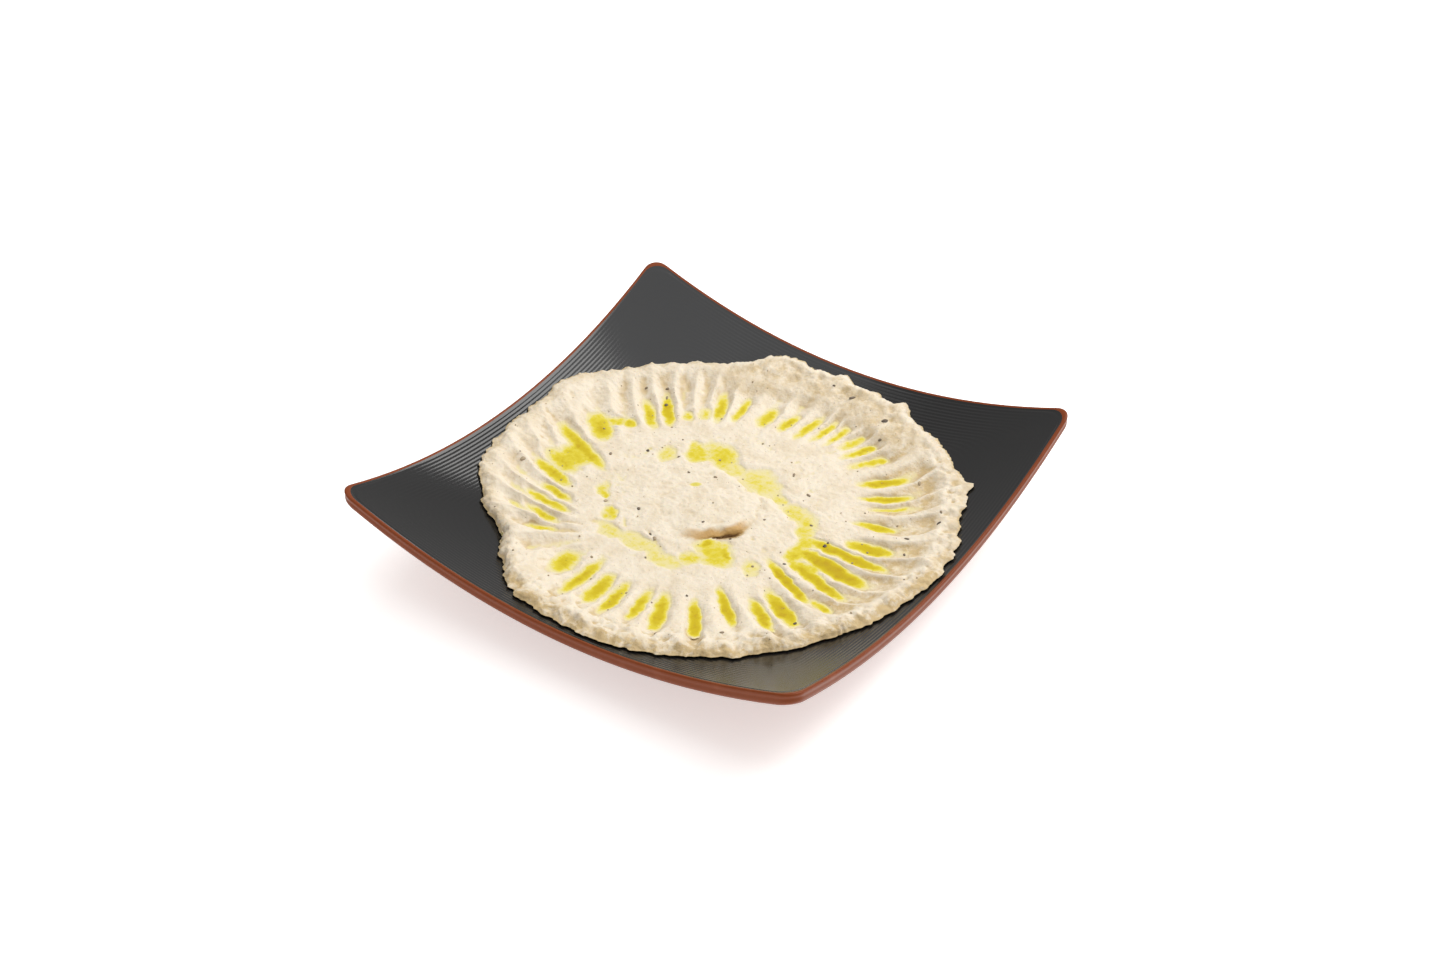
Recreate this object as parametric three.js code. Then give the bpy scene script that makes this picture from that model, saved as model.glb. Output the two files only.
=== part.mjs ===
// Hummus spread on its square plate, in millimetres, +Z up.
// The origin is the centre of the plate's foot, on the surface that the plate stands on.
// The plate is one moulding: a dished floor, sides that rise to four lifted corners, and a foot
// ring. The hummus is one mass that fills the dish, drawn out with the back of a spoon into a
// wheel of furrows, with oil lying level in them.
import * as THREE from 'three';

// Plate.
const PLATE_HALF = 110;
const CORNER_RADIUS = 7;
const CORNER_GROWTH = 0.6;
const CORNER_LIFT = 22.6;
const FLOOR_SPREAD = 40;
const WALL = 4.5;
const RIM_FACE = 4.3;
const RIM_ROUND = 0.9;
const FOOT_OUTER = 57;
const FOOT_INNER = 50;
const FOOT_CORNER = 37;
const FOOT_DRAFT = 1.5;
const FOOT_CLEARANCE = 3;
const SIDE_STEPS = 16;
const CORNER_STEPS = 6;

// Hummus.
const REST_GAP = 0.4;
const SPREAD_RADIUS = 102.4;
const LEVEL = 21.3;
const THINNEST = 1.8;
const BEAD_HEIGHT = 2.6;
const BEAD_FOOT = 1;
const RIPPLE = 0.55;
const FURROW_COLUMNS = 4;
const LEAN_RADIUS = 80;
const LEAN_START = 62;
const HOLLOW_DEPTH = 1.1;
const HOLLOW_BLUNTNESS = 0.6;
const HEAD_RUN = 14;
const SHORTEST_TAIL = 6;
const DRY_DEPTH = 0.35;
const EDGE_SCALLOP = 0.8;

// Oil: its level against the hummus's, how much lower a furrow without any would stand, and how
// far it wets a furrow before and behind the run that it fills.
const OIL_LEVEL = -0.35;
const OIL_SHORTFALL = 0.7;
const OIL_BEFORE = 4;
const OIL_BEHIND = 2;

// The one stretch of the border that no stroke reaches: its angles and its two heights.
const SHELF = { from: [46, 60], to: [114, 128], inner: 3.6, outer: 6.5 };

// Runs of spoon strokes round the wheel. Each gives its first and last stroke's angle in degrees
// from +X, how many strokes it has, how far the first and last lean from straight outwards, where
// their oil starts and where it stops, where the groove itself dies out, and how full of oil it is.
const STROKE_RUNS = [
  [[2, 18.4], 3, [0, -8], [54, 58], [84, 80], 97, 0.8],
  [[30.5, 44.7], 3, [-1, 2], [62, 60], [84, 84], 97, 0.7],
  [[56.6, 93.7], 7, [0, -12], [62, 58], [89, 74], 84, 0.8],
  [[101.6, 127.5], 4, [-16, -24], [57, 57], [75, 71], 92, 0.9],
  [[140.2, 175.9], 5, [-16, -32], [57, 54], [79, 85], 97, 1.1],
  [[187.6, 217.7], 5, [-24, -42], [63, 64], [82, 76], 95, 0.9],
  [[229, 240], 2, [-34, -16], [66, 66], [80, 80], 88, 0],
  [[250.2, 287], 6, [12, -2], [62, 63], [82, 84], 90, 1],
  [[299.1, 319.2], 3, [2, 10], [61, 62], [87, 84], 92, 1],
  [[326.7, 351.6], 4, [11, -4], [56, 46], [85, 84], 95, 1.25],
];

// Swellings and dents of the hummus's edge: angle and half-width in degrees, height outwards.
const EDGE_SWELLS = [
  [4, 13, 3.6],
  [15, 2.5, 2.4],
  [33, 9, 2.2],
  [36, 2.5, 3.4],
  [48, 10, 1.6],
  [73, 2.5, 2.6],
  [104, 8, 3.6],
  [128, 12, -3.4],
  [162, 11, 3.2],
  [212, 9, -2.6],
  [232, 13, -9.6],
  [285, 30, 3.4],
  [318, 4, -1.4],
  [342, 9, 1.4],
];

// The lump left in the middle where the spoon was lifted, with its lip towards the front.
const LUMP = { x: 4.5, y: -8, radius: 15.5, height: 2.8, lip: -50, lipDrop: 2.2 };
const LUMP_FALL = 3.2;
const GROOVE_PLACE = 1.14;
const GROOVE_WIDTH = 0.13;
const GROOVE_SHORTNESS = 4;

// Pools of oil round the middle: place, half-widths and turn in the plan.
const POOLS = [
  { x: -36, y: 17, wide: 5.5, deep: 3.4, turn: 40 },
  { x: -20, y: 27.5, wide: 9.5, deep: 4.6, turn: 25 },
  { x: 7, y: 21.8, wide: 6, deep: 4.2, turn: -10 },
  { x: 36, y: 11.5, wide: 10, deep: 3.8, turn: -24 },
  { x: -43, y: -20.5, wide: 4.5, deep: 3, turn: -55 },
  { x: -32.5, y: -31, wide: 4.5, deep: 3, turn: -50 },
  { x: -18, y: -41, wide: 7, deep: 3.4, turn: -25 },
  { x: 4.4, y: -43, wide: 6.5, deep: 3.2, turn: 10 },
  { x: 13, y: -37.5, wide: 4, deep: 2.8, turn: 25 },
  { x: 20, y: -28, wide: 8.5, deep: 5.2, turn: 30 },
];

const DEGREE = Math.PI / 180;
const TURN = 360;

const mix = (from, to, share) => from + (to - from) * share;
const clamp = (value) => Math.min(1, Math.max(0, value));
const ease = (from, to, value) => {
  const share = clamp((value - from) / (to - from));
  return share * share * (3 - 2 * share);
};
const hill = (distance) => Math.exp(-distance * distance);

// A smooth curve through a few [place, height] stations.
const curveThrough = (stations) => (place) => {
  const next = stations.findIndex(([at]) => at >= place);
  if (next === 0) return stations[0][1];
  if (next < 0) return stations[stations.length - 1][1];
  const [fromPlace, fromHeight] = stations[next - 1];
  const [toPlace, toHeight] = stations[next];
  return mix(fromHeight, toHeight, ease(fromPlace, toPlace, place));
};

// The top of the dish: a bowl that flattens towards its middle, cut square by the plate's edge,
// which is what lifts the corners above the middles of the sides.
const bowlShape = (radius) => Math.hypot(radius * radius, FLOOR_SPREAD * FLOOR_SPREAD);
const sideShape = bowlShape(PLATE_HALF);
const cornerShape = bowlShape(PLATE_HALF * Math.SQRT2);
const bowlRate = CORNER_LIFT / (cornerShape - sideShape);
const dishTop = (x, y) => {
  const rise = bowlRate * (bowlShape(Math.hypot(x, y)) - bowlShape(0));
  return FOOT_CLEARANCE + WALL + rise;
};

// One ring of the plate seen from above: a rounded square whose corners open out to a circle
// towards the middle of the plate.
const openCorner = (half) => Math.min(half, CORNER_RADIUS + CORNER_GROWTH * (PLATE_HALF - half));
const squareRing = (half, corner = openCorner(half)) => {
  const straight = half - corner;
  const ring = [];
  for (let quarter = 0; quarter < 4; quarter += 1) {
    const turn = new THREE.Vector2(Math.cos((quarter * Math.PI) / 2), Math.sin((quarter * Math.PI) / 2));
    const place = (out, along) => {
      ring.push([out * turn.x - along * turn.y, out * turn.y + along * turn.x]);
    };
    for (let step = 0; step < SIDE_STEPS; step += 1) {
      place(half, mix(-straight, straight, step / SIDE_STEPS));
    }
    for (let step = 0; step < CORNER_STEPS; step += 1) {
      const angle = (step / CORNER_STEPS) * (Math.PI / 2);
      place(straight + corner * Math.cos(angle), straight + corner * Math.sin(angle));
    }
  }
  return ring;
};

// A closed body from rings of points, first ring round one pole and last ring round the other.
// Where a ring has half as many points as its neighbour, each of its edges meets two.
const closedBody = (firstPole, rings, lastPole) => {
  const places = [firstPole, ...rings.flat(), lastPole];
  const starts = [];
  let start = 1;
  for (const ring of rings) {
    starts.push(start);
    start += ring.length;
  }
  const faces = [];
  const at = (ring, step) => starts[ring] + (step % rings[ring].length);
  const firstCount = rings[0].length;
  for (let step = 0; step < firstCount; step += 1) {
    faces.push(0, at(0, step), at(0, step + 1));
  }
  for (let ring = 0; ring + 1 < rings.length; ring += 1) {
    const inner = rings[ring].length;
    const outer = rings[ring + 1].length;
    const ratio = outer / inner;
    for (let step = 0; step < Math.min(inner, outer); step += 1) {
      if (ratio === 2) {
        faces.push(at(ring, step), at(ring + 1, 2 * step), at(ring + 1, 2 * step + 1));
        faces.push(at(ring, step), at(ring + 1, 2 * step + 1), at(ring, step + 1));
        faces.push(at(ring, step + 1), at(ring + 1, 2 * step + 1), at(ring + 1, 2 * step + 2));
      } else if (ratio === 0.5) {
        faces.push(at(ring, 2 * step), at(ring + 1, step), at(ring, 2 * step + 1));
        faces.push(at(ring, 2 * step + 1), at(ring + 1, step), at(ring + 1, step + 1));
        faces.push(at(ring, 2 * step + 1), at(ring + 1, step + 1), at(ring, 2 * step + 2));
      } else {
        faces.push(at(ring, step), at(ring + 1, step), at(ring, step + 1));
        faces.push(at(ring, step + 1), at(ring + 1, step), at(ring + 1, step + 1));
      }
    }
  }
  const last = places.length - 1;
  const lastRing = rings.length - 1;
  for (let step = 0; step < rings[lastRing].length; step += 1) {
    faces.push(at(lastRing, step), last, at(lastRing, step + 1));
  }
  const geometry = new THREE.BufferGeometry();
  geometry.setAttribute('position', new THREE.Float32BufferAttribute(places.flat(), 3));
  geometry.setIndex(faces);
  geometry.computeVertexNormals();
  return geometry;
};

// The plate's section, walked from the middle of its top over the rim and back underneath.
const plateGeometry = () => {
  const bands = [];
  const band = (half, heightAt, corner) => {
    bands.push(squareRing(half, corner).map(([x, y]) => [x, y, heightAt(x, y)]));
  };
  const below = (drop) => (x, y) => dishTop(x, y) - drop;
  for (const half of [16, 30, 43, 52, 61, 69, 77, 85, 92, 98, 104]) band(half, dishTop);
  band(PLATE_HALF - 2 * RIM_ROUND, below(-0.1));
  band(PLATE_HALF, below(RIM_ROUND));
  band(PLATE_HALF, below(RIM_ROUND + RIM_FACE));
  band(PLATE_HALF - 1.5 * RIM_ROUND, below(2 * RIM_ROUND + RIM_FACE));
  band(104, below(WALL + 0.4));
  for (const half of [92, 80, 68]) band(half, below(WALL));
  const innerCorner = FOOT_CORNER - (FOOT_OUTER - FOOT_INNER);
  band(FOOT_OUTER + FOOT_DRAFT, below(WALL), FOOT_CORNER + FOOT_DRAFT);
  band(FOOT_OUTER, () => 0, FOOT_CORNER);
  band(FOOT_INNER, () => 0, innerCorner);
  band(FOOT_INNER - FOOT_DRAFT, below(WALL), innerCorner - FOOT_DRAFT);
  band(30, below(WALL));
  const floor = dishTop(0, 0);
  return closedBody([0, 0, floor], bands, [0, 0, floor - WALL]);
};

// Every stroke of the wheel, in order round the plate.
const strokes = STROKE_RUNS.flatMap(([angles, count, lean, start, end, tail, fill]) => {
  const run = [];
  for (let index = 0; index < count; index += 1) {
    const share = index / (count - 1);
    run.push({
      angle: mix(angles[0], angles[1], share),
      slope: Math.tan(mix(lean[0], lean[1], share) * DEGREE),
      oilStart: mix(start[0], start[1], share),
      oilEnd: mix(end[0], end[1], share),
      tail,
      fill,
    });
  }
  return run;
});

// A place round the wheel: which two strokes it lies between, and how far across.
const between = (column) => {
  const index = Math.floor(column);
  const first = strokes[index % strokes.length];
  const second = strokes[(index + 1) % strokes.length];
  return { first, second, share: column - index };
};
const strokeAngle = (stroke, radius) => {
  const reach = Math.log(Math.max(radius, LEAN_START) / LEAN_RADIUS);
  return stroke.angle + (stroke.slope * reach) / DEGREE;
};
const wheelAngle = (column, radius) => {
  const { first, second, share } = between(column);
  const start = strokeAngle(first, radius);
  let gap = strokeAngle(second, radius) - start;
  if (gap < 0) gap += TURN;
  return start + gap * share;
};

const aroundGap = (angle, centre) => {
  const gap = (((angle - centre) % TURN) + TURN) % TURN;
  return gap > TURN / 2 ? gap - TURN : gap;
};
const edgeRadius = (angle) => {
  let radius = SPREAD_RADIUS;
  for (const [centre, halfWidth, height] of EDGE_SWELLS) {
    radius += height * hill(aroundGap(angle, centre) / halfWidth);
  }
  const coarse = Math.sin(19 * angle * DEGREE + 0.7);
  const fine = Math.sin(31 * angle * DEGREE + 2.1);
  return radius + RIPPLE * (coarse + fine);
};

// Heights above the level of the oil-bearing middle, by share of the way out to the edge.
const crestAt = curveThrough([
  [0, 0.9], [0.3, 0.6], [0.42, 0.1], [0.5, 0.2], [0.58, 0.4],
  [0.7, 1.5], [0.82, 3.6], [0.92, 6.2], [0.955, 6.5], [0.985, 5.6], [1, 4.8],
]);
const isShelf = (angle) => ease(...SHELF.from, angle) * (1 - ease(...SHELF.to, angle));

// The floor of one furrow: a hollow under the oil, rising to the crest at both its ends.
const furrowFloor = (stroke, radius, crest) => {
  const { oilStart, oilEnd, tail } = stroke;
  const along = (radius - oilStart) / (oilEnd - oilStart);
  if (along >= 0 && along <= 1) {
    return OIL_LEVEL - HOLLOW_DEPTH * Math.sin(Math.PI * along) ** HOLLOW_BLUNTNESS;
  }
  if (along < 0) {
    return mix(OIL_LEVEL, crest, ease(0, HEAD_RUN, oilStart - radius));
  }
  const run = Math.max(SHORTEST_TAIL, tail - oilEnd);
  return mix(OIL_LEVEL, crest, ease(0, run, radius - oilEnd));
};

const lumpHeight = (x, y) => {
  const dx = x - LUMP.x;
  const dy = y - LUMP.y;
  const away = Math.hypot(dx, dy) / LUMP.radius;
  const facing = Math.cos(Math.atan2(dy, dx) - LUMP.lip * DEGREE);
  const dome = LUMP.height * hill(away) * hill(Math.max(0, away - 1) * LUMP_FALL);
  const nearLip = Math.max(0, facing) ** GROOVE_SHORTNESS;
  const groove = hill((away - GROOVE_PLACE) / GROOVE_WIDTH);
  return dome - LUMP.lipDrop * nearLip * groove;
};

const poolDip = (x, y) => {
  let dip = 0;
  for (const pool of POOLS) {
    const dx = x - pool.x;
    const dy = y - pool.y;
    const cos = Math.cos(pool.turn * DEGREE);
    const sin = Math.sin(pool.turn * DEGREE);
    const across = (dx * cos + dy * sin) / pool.wide;
    const deep = (dy * cos - dx * sin) / pool.deep;
    dip = Math.max(dip, hill(Math.hypot(across, deep)));
  }
  return dip;
};

// The furrows alone: pale ridges at the crest's height, and hollows with oil level in them.
const furrowHeight = (column, share, x, y, crest, shelf) => {
  const { first, second, share: across } = between(column);
  const nearest = across < 0.5 ? first : second;
  const aside = 2 * Math.min(across, 1 - across);
  const ridge = mix(aside * aside, Math.sin((aside * Math.PI) / 2) ** 2, 0.4);
  const floor = furrowFloor(nearest, share * 100, crest);
  const isWet = nearest.fill > 0;
  const scallop = EDGE_SCALLOP * ease(0.86, 0.95, share) * (1 - shelf);
  const height = mix(mix(crest, floor, isWet ? 1 : DRY_DEPTH) - scallop, crest, ridge);
  const radius = Math.hypot(x, y);
  const isInside = radius > nearest.oilStart - OIL_BEFORE && radius < nearest.oilEnd + OIL_BEHIND;
  if (!isWet || !isInside) return height;
  return Math.max(height, OIL_LEVEL - OIL_SHORTFALL * Math.max(0, 1 - nearest.fill));
};

// The top of the hummus with the oil that lies in it, by place round the wheel and share out.
const hummusTop = (column, share, x, y) => {
  const crest = crestAt(share);
  const shelf = isShelf(wheelAngle(column, share * 100));
  const middle = 1 - ease(0.44, 0.56, share);
  const dip = poolDip(x, y) * middle;
  let height = furrowHeight(column, share, x, y, crest, shelf) + middle * lumpHeight(x, y);
  height = mix(height, OIL_LEVEL, dip > 0.45 ? 1 : dip);
  const shelfHeight = mix(SHELF.inner, SHELF.outer, ease(0.8, 0.97, share));
  height = mix(height, shelfHeight, shelf * ease(0.8, 0.9, share));
  return Math.max(LEVEL + height, dishTop(x, y) + THINNEST);
};

// The hummus, walked from the middle of its top out over its edge and back along the dish.
const hummusGeometry = () => {
  const columns = strokes.length * FURROW_COLUMNS;
  const ringAt = (share, step, heightAt) => {
    const ring = [];
    for (let index = 0; index < columns; index += step) {
      const column = index / FURROW_COLUMNS;
      const angle = wheelAngle(column, share * 100);
      const radius = edgeRadius(angle) * share;
      const x = radius * Math.cos(angle * DEGREE);
      const y = radius * Math.sin(angle * DEGREE);
      ring.push([x, y, heightAt(column, share, x, y)]);
    }
    return ring;
  };
  const onDish = (rise) => (column, share, x, y) => dishTop(x, y) + rise;
  const rings = [];
  for (const share of [0.05, 0.1, 0.145, 0.19, 0.23, 0.27, 0.32, 0.37, 0.42, 0.47, 0.52]) {
    rings.push(ringAt(share, 2, hummusTop));
  }
  for (const share of [0.57, 0.62, 0.67, 0.72, 0.77, 0.82, 0.86, 0.9, 0.94, 0.97, 0.99]) {
    rings.push(ringAt(share, 1, hummusTop));
  }
  rings.push(ringAt(1.003, 1, onDish(BEAD_HEIGHT)));
  rings.push(ringAt(1, 1, onDish(BEAD_FOOT)));
  rings.push(ringAt(0.985, 1, onDish(REST_GAP)));
  for (const share of [0.85, 0.68, 0.5, 0.3, 0.15]) {
    rings.push(ringAt(share, 2, onDish(REST_GAP)));
  }
  return closedBody([0, 0, hummusTop(0, 0, 0, 0)], rings, [0, 0, dishTop(0, 0) + REST_GAP]);
};

const named = (name, geometry, material) => {
  const mesh = new THREE.Mesh(geometry, material);
  mesh.name = name;
  return mesh;
};

const blackLacquer = new THREE.MeshStandardMaterial({ color: 0x24252a, roughness: 0.35, metalness: 0 });
const creamHummus = new THREE.MeshStandardMaterial({ color: 0xeadfca, roughness: 0.6, metalness: 0 });

const hummusPlate = new THREE.Group();
hummusPlate.add(named('plate', plateGeometry(), blackLacquer));
hummusPlate.add(named('hummus', hummusGeometry(), creamHummus));

export default hummusPlate;
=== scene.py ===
"""A square black plate of hummus, drawn into a wheel of spoon furrows with olive oil in them."""

import math
import random

import bmesh
import bpy
import numpy as np
from mathutils import Matrix, Vector, noise


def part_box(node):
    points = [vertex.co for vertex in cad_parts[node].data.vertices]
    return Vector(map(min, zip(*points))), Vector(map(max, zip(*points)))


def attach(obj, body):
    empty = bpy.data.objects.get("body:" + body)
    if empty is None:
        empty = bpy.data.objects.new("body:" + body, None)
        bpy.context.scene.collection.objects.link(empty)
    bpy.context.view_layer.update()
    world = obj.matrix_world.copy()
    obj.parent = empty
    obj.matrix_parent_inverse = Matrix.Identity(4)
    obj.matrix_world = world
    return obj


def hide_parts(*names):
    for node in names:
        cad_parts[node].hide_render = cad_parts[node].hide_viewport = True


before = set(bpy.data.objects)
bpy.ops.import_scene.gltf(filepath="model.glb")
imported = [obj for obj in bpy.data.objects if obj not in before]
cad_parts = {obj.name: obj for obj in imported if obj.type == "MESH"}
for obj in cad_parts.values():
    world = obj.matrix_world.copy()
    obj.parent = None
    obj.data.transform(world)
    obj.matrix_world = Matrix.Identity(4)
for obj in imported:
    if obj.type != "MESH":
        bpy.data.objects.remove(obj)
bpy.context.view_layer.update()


# Plate: melamine ware, pressed in one piece. It is a shallow bowl cut square by its edge, which
# lifts the corners. The top is black lacquer over fine moulded ridges, and the rim and the back
# are red-brown lacquer. It stands on a low foot ring.
MM = 0.001
PLATE_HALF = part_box("plate")[1].x / MM
PLATE_CORNER_LIFT = 22.6
PLATE_FLOOR = 7.5
PLATE_FLOOR_SPREAD = 40
PLATE_WALL = 4.5
CORNER_RADIUS = 7
CORNER_GROWTH = 0.6
LIP_WIDTH = 2.4
BROWN_EDGE = 1.2
RIDGE_PITCH = 1.65
RIDGE_STEPS = ((0, -0.21), (0.08, -0.2), (0.4, -0.03), (0.5, 0), (0.6, -0.03), (0.86, -0.17))
CORNER_RIDGE_SHARE = 0.12
NEAR_RIDGE_SHARE = 0.4
RIDGE_FADE_START = 0.5
RIDGE_FADE_RUN = 0.38
RIDGE_COUNT = 27
SIDE_STEPS = 26
CORNER_STEPS = 10
DOUBLED_GAP = 0.001
BLACK_LACQUER = (0.0062, 0.0066, 0.0074, 1)
BLACK_WORN = (0.0075, 0.0078, 0.0084, 1)
RED_BROWN_LACQUER = (0.185, 0.04, 0.009, 1)
RED_BROWN_WORN = (0.23, 0.06, 0.022, 1)
BLACK_ROUGHNESS = 0.12
RED_BROWN_ROUGHNESS = 0.26
BLACK_INDEX = 1.47
RED_BROWN_INDEX = 1.24


def bowl_shape(radius):
    return np.hypot(radius * radius, PLATE_FLOOR_SPREAD * PLATE_FLOOR_SPREAD)


BOWL_RATE = PLATE_CORNER_LIFT / (bowl_shape(PLATE_HALF * math.sqrt(2)) - bowl_shape(PLATE_HALF))


def dish_top(x, y):
    """Height of the plate's top, in millimetres, over a place in the plan."""
    return PLATE_FLOOR + BOWL_RATE * (bowl_shape(np.hypot(x, y)) - bowl_shape(0))


def plate_ring(half, corner=None):
    """A rounded square of a half-width, with as many points whatever its size."""
    if corner is None:
        corner = min(half, CORNER_RADIUS + CORNER_GROWTH * (PLATE_HALF - half))
    straight = half - corner
    points = []
    for quarter in range(4):
        turn = Matrix.Rotation(quarter * math.pi / 2, 2)
        for step in range(SIDE_STEPS):
            along = -straight + 2 * straight * step / SIDE_STEPS
            points.append(turn @ Vector((half, along)))
        for step in range(CORNER_STEPS):
            angle = step / CORNER_STEPS * math.pi / 2
            reach = Vector((math.cos(angle), math.sin(angle))) * corner
            points.append(turn @ (Vector((straight, straight)) + reach))
    return points


def plate_rows():
    """The plate's section from the middle of its top over the rim to the middle of its back.

    Each row is a half-width, a height, a corner radius and what its height is over: the dish's
    "top", the top where a "ridge" is worn flat towards the corners, or the "table".
    """
    rows = [(half, 0, None, "top") for half in (10, 22, 34, 46, 56)]
    first_ridge = PLATE_HALF - LIP_WIDTH - RIDGE_COUNT * RIDGE_PITCH
    for ridge in range(RIDGE_COUNT):
        for share, height in RIDGE_STEPS:
            rows.append((first_ridge + (ridge + share) * RIDGE_PITCH, height, None, "ridge"))
    lip = [(2.4, -0.12), (1.9, 0), (1.5, 0.1), (1.1, 0.16), (0.7, 0.1), (0.3, -0.16), (0.04, -0.7)]
    face = [(0, -1.3), (0.1, -1.8), (0.18, -2.3), (0.16, -2.8), (0.05, -3.3), (0, -3.9)]
    face += [(0.04, -4.6)]
    under = [(0.3, -5.2), (0.95, -5.75), (1.9, -6), (3.6, -5.7), (6, -5.1), (10, -4.8), (18, -4.6)]
    rows += [(PLATE_HALF - inset, lift, None, "top") for inset, lift in lip + face + under]
    rows += [(half, -PLATE_WALL, None, "top") for half in (80, 68)]
    rows += [(60, -PLATE_WALL, 40, "top"), (58.6, -PLATE_WALL - 0.4, 38.6, "top")]
    rows += [(57.6, 0.9, 37.6, "table"), (57.3, 0.2, 37.3, "table"), (56.6, 0, 36.6, "table")]
    rows += [(50.4, 0, 30.4, "table"), (49.7, 0.2, 29.7, "table"), (49.4, 0.9, 29.4, "table")]
    rows += [(48.4, -PLATE_WALL - 0.3, 28.4, "top"), (47, -PLATE_WALL, 28, "top")]
    rows += [(half, -PLATE_WALL, None, "top") for half in (36, 22, 10)]
    return rows


def add_piece(name, adder, **settings):
    """Adds a primitive with nothing else selected, and names it."""
    bpy.ops.object.select_all(action="DESELECT")
    adder(**settings)
    piece = bpy.context.object
    piece.name = name
    piece.data.name = name
    return piece


def extrude_rim(piece, place):
    """Extrudes the selected edges of a piece in edit mode and sets each new corner to its place."""
    bpy.ops.mesh.extrude_region_move()
    mesh = bmesh.from_edit_mesh(piece.data)
    corners = [corner for corner in mesh.verts if corner.select]
    for number, corner in enumerate(corners):
        corner.co = place(number, corner.co)
    bmesh.update_edit_mesh(piece.data)


def make_plate():
    rows = plate_rows()
    rings = []
    for half, height, corner, base in rows:
        ring = []
        for x, y in plate_ring(half, corner):
            nearness = min(abs(x), abs(y)) / max(abs(x), abs(y))
            fade = min(1, max(0, (nearness - RIDGE_FADE_START) / RIDGE_FADE_RUN))
            worn = 1 - (1 - CORNER_RIDGE_SHARE) * fade
            on_near_side = x > abs(y) or -y > abs(x)
            if on_near_side:
                worn = worn * NEAR_RIDGE_SHARE
            lift = height * (worn if base == "ridge" else 1)
            ring.append(Vector((x, y, lift if base == "table" else dish_top(x, y) + lift)) * MM)
        rings.append(ring)
    count = len(rings[0])
    plate = add_piece(
        "square_plate", bpy.ops.mesh.primitive_circle_add, vertices=count, radius=PLATE_HALF * MM
    )
    for vertex, point in zip(plate.data.vertices, rings[0]):
        vertex.co = point
    bpy.ops.object.mode_set(mode="EDIT")
    bpy.ops.mesh.select_all(action="SELECT")
    for ring in rings[1:]:
        extrude_rim(plate, lambda number, co: ring[number])
    bpy.ops.mesh.extrude_region_move()
    bpy.ops.mesh.merge(type="CENTER")
    bpy.ops.mesh.select_all(action="DESELECT")
    bpy.ops.mesh.select_non_manifold()
    bpy.ops.mesh.extrude_region_move()
    bpy.ops.mesh.merge(type="CENTER")
    bpy.ops.mesh.select_all(action="SELECT")
    bpy.ops.mesh.normals_make_consistent(inside=False)
    bpy.ops.object.mode_set(mode="OBJECT")
    bpy.ops.object.shade_smooth()
    first_brown = count * next(i for i, row in enumerate(rows) if row[0] > PLATE_HALF - BROWN_EDGE)
    for face in plate.data.polygons:
        face.material_index = int(max(face.vertices) >= first_brown)

    # The innermost rings are circles, where the points of the straight sides fall together.
    bpy.ops.object.mode_set(mode="EDIT")
    bpy.ops.mesh.select_all(action="SELECT")
    bpy.ops.mesh.remove_doubles(threshold=DOUBLED_GAP * MM)
    bpy.ops.object.mode_set(mode="OBJECT")
    return plate


class Wire:
    """A socket of a material. Sums on wires add Math nodes, and node() adds any other one."""

    def __init__(self, socket):
        self.socket = socket

    def node(self, kind, settings=(), inputs=(), output=0):
        tree = self.socket.id_data
        made = tree.nodes.new(kind)
        for name, value in dict(settings).items():
            setattr(made, name, value)
        for name, value in dict(inputs).items():
            if isinstance(value, Wire):
                tree.links.new(value.socket, made.inputs[name])
            else:
                made.inputs[name].default_value = value
        return Wire(made.outputs[output])

    def sum_with(self, operation, first, second):
        return self.node("ShaderNodeMath", {"operation": operation}, {0: first, 1: second})

    def __add__(self, other):
        return self.sum_with("ADD", self, other)

    __radd__ = __add__

    def __sub__(self, other):
        return self.sum_with("SUBTRACT", self, other)

    def __rsub__(self, other):
        return self.sum_with("SUBTRACT", other, self)

    def __mul__(self, other):
        return self.sum_with("MULTIPLY", self, other)

    __rmul__ = __mul__

    def larger(self, other):
        return self.sum_with("MAXIMUM", self, other)

    def between(self, low, high):
        """0 below low, 1 above high, and smooth between them."""
        limits = {"Value": self, "From Min": low, "From Max": high}
        return self.node("ShaderNodeMapRange", {"interpolation_type": "SMOOTHSTEP"}, limits)

    def blend(self, first, second):
        """The first colour where this wire is 0, the second where it is 1."""
        colours = {"Factor": self, 6: first, 7: second}
        return self.node("ShaderNodeMix", {"data_type": "RGBA"}, colours, output=2)

    def grain(self, size, detail=3, roughness=0.5):
        """Noise from 0 to 1 with spots of a size in millimetres, on this wire's coordinates."""
        spots = {"Vector": self, "Scale": 1 / (size * MM), "Detail": detail, "Roughness": roughness}
        return self.node("ShaderNodeTexNoise", {}, spots)


def new_finish(name):
    """A material with its surface shader, and the Object coordinates that its patterns read."""
    material = bpy.data.materials.new(name)
    material.use_nodes = True
    shader = material.node_tree.nodes["Principled BSDF"]
    place = Wire(material.node_tree.nodes.new("ShaderNodeTexCoord").outputs["Object"])
    return material, shader, place


def feed(shader, name, wire):
    wire.socket.id_data.links.new(wire.socket, shader.inputs[name])


def lacquer(name, glaze, worn_glaze, roughness, index):
    """Sprayed lacquer with faint wear in patches, smears and a fine speckle."""
    material, shader, place = new_finish(name)
    worn = place.grain(9, 4).between(0.5, 0.72) * 0.5
    feed(shader, "Base Color", worn.blend(glaze, worn_glaze))
    smears = place.grain(30, 4, 0.6)
    feed(shader, "Roughness", roughness + smears * 0.08)
    speckle = place.grain(0.9, 3)
    bump = {"Height": speckle, "Strength": 0.12, "Distance": 0.02 * MM}
    feed(shader, "Normal", place.node("ShaderNodeBump", {}, bump))
    shader.inputs["IOR"].default_value = index
    return material


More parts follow.
